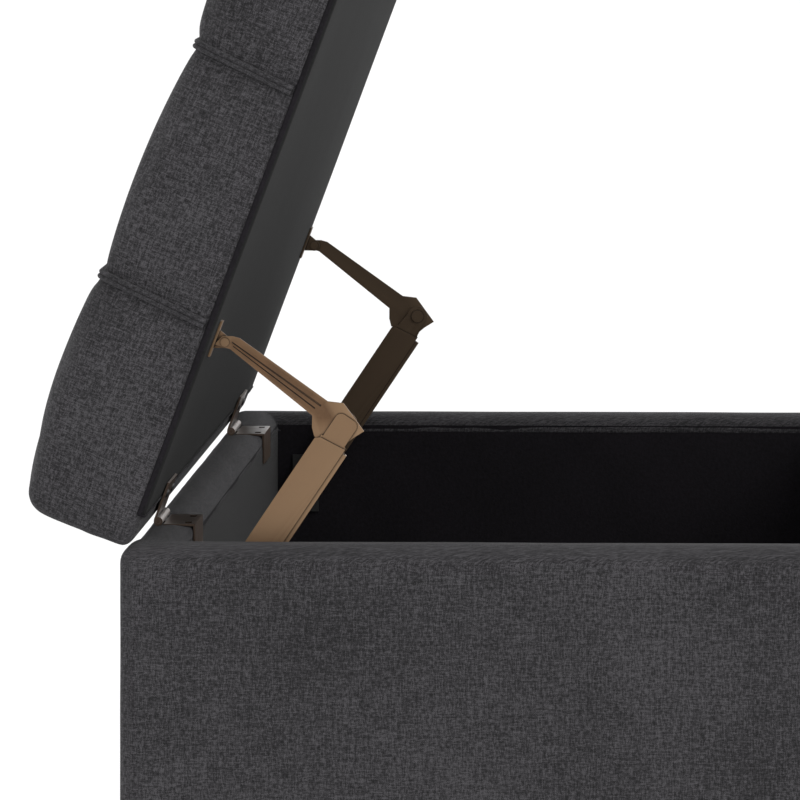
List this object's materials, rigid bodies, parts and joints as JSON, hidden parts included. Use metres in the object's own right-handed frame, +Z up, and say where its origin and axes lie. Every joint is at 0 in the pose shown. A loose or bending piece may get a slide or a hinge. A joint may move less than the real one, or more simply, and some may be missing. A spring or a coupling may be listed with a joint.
{
  "type": "storage ottoman",
  "caption": "Long upholstered storage bench with a padded lid that lifts on butt hinges and is held open by two folding spring stays, on short turned feet.",
  "frame": {"origin": "on the floor, under the middle of the object's box with the lid open as pictured", "axes": "+X along the length and the hinge axis, the front faces -Y and the hinges are at +Y, +Z up"},
  "size_m": [1.22, 0.5558, 0.8529],
  "materials": {
    "charcoal_fabric": "matt linen-look weave, dark charcoal grey",
    "black_lining": "matt black non-woven lining",
    "grey_dust_cover": "matt dark grey non-woven cloth",
    "foam": "open-cell foam block",
    "plywood": "raw plywood",
    "dark_wood": "dark stained, satin",
    "bronzed_steel": "bronze-lacquered pressed steel, satin",
    "steel": "zinc-plated steel",
    "black_plastic": "moulded nylon",
    "rubber": "soft black rubber"
  },
  "bodies": {
    "box": {"back_board": "plywood", "front_board": "plywood", "left_end_board": "plywood", "right_end_board": "plywood", "floor_board": "plywood", "storage_lining": "black_lining", "back_cover": "charcoal_fabric", "front_cover": "charcoal_fabric", "left_end_cover": "charcoal_fabric", "right_end_cover": "charcoal_fabric", "base_dust_cover": "grey_dust_cover", "front_left_corner_block": "plywood", "front_left_foot": "dark_wood", "front_left_foot_bolt": "steel", "front_left_glide": "black_plastic", "back_left_corner_block": "plywood", "back_left_foot": "dark_wood", "back_left_foot_bolt": "steel", "back_left_glide": "black_plastic", "front_right_corner_block": "plywood", "front_right_foot": "dark_wood", "front_right_foot_bolt": "steel", "front_right_glide": "black_plastic", "back_right_corner_block": "plywood", "back_right_foot": "dark_wood", "back_right_foot_bolt": "steel", "back_right_glide": "black_plastic", "left_hinge_wall_leaf": "bronzed_steel", "left_hinge_pin": "bronzed_steel", "left_stay_base_plate": "bronzed_steel", "left_stay_base_pin": "bronzed_steel", "right_hinge_wall_leaf": "bronzed_steel", "right_hinge_pin": "bronzed_steel", "right_stay_base_plate": "bronzed_steel", "right_stay_base_pin": "bronzed_steel"},
    "lid": {"lid_cover": "charcoal_fabric", "lid_foam": "foam", "lid_board": "plywood", "lid_dust_cover": "grey_dust_cover", "left_lid_bumper": "rubber", "left_hinge_lid_leaf": "bronzed_steel", "left_stay_lid_bracket": "bronzed_steel", "left_stay_lid_rivet": "bronzed_steel", "right_lid_bumper": "rubber", "right_hinge_lid_leaf": "bronzed_steel", "right_stay_lid_bracket": "bronzed_steel", "right_stay_lid_rivet": "bronzed_steel"},
    "left_stay_lower_link": {"left_stay_housing": "bronzed_steel", "left_stay_liner": "bronzed_steel", "left_stay_spring": "steel", "left_stay_plunger": "steel", "left_stay_head_rivet": "bronzed_steel"},
    "left_stay_upper_link": {"left_stay_arm": "bronzed_steel"},
    "right_stay_lower_link": {"right_stay_housing": "bronzed_steel", "right_stay_liner": "bronzed_steel", "right_stay_spring": "steel", "right_stay_plunger": "steel", "right_stay_head_rivet": "bronzed_steel"},
    "right_stay_upper_link": {"right_stay_arm": "bronzed_steel"}
  },
  "joints": [
    {"name": "lid_hinge", "type": "hinge", "parent": "box", "child": "lid", "pos_m": [0, 0.20749, 0.3753], "axis": [1, 0, 0], "range_deg": [0, 69.5]},
    {"name": "left_stay_base_pivot", "type": "hinge", "parent": "box", "child": "left_stay_lower_link", "pos_m": [-0.562, 0.16209, 0.32], "axis": [1, 0, 0], "range_deg": [-0.5, 66]},
    {"name": "left_stay_lid_pivot", "type": "hinge", "parent": "lid", "child": "left_stay_upper_link", "pos_m": [-0.562, 0.15479, 0.5049], "axis": [1, 0, 0], "range_deg": [-53.5, 0.5]},
    {"name": "right_stay_base_pivot", "type": "hinge", "parent": "box", "child": "right_stay_lower_link", "pos_m": [0.562, 0.16209, 0.32], "axis": [1, 0, 0], "range_deg": [-0.5, 66]},
    {"name": "right_stay_lid_pivot", "type": "hinge", "parent": "lid", "child": "right_stay_upper_link", "pos_m": [0.562, 0.15479, 0.5049], "axis": [1, 0, 0], "range_deg": [-53.5, 0.5]}
  ],
  "couplings": [
    {"joint": "left_stay_base_pivot", "follows": "lid_hinge", "ratio": 0.9354},
    {"joint": "left_stay_lid_pivot", "follows": "lid_hinge", "ratio": -0.7567},
    {"joint": "right_stay_base_pivot", "follows": "lid_hinge", "ratio": 0.9354},
    {"joint": "right_stay_lid_pivot", "follows": "lid_hinge", "ratio": -0.7567}
  ]
}
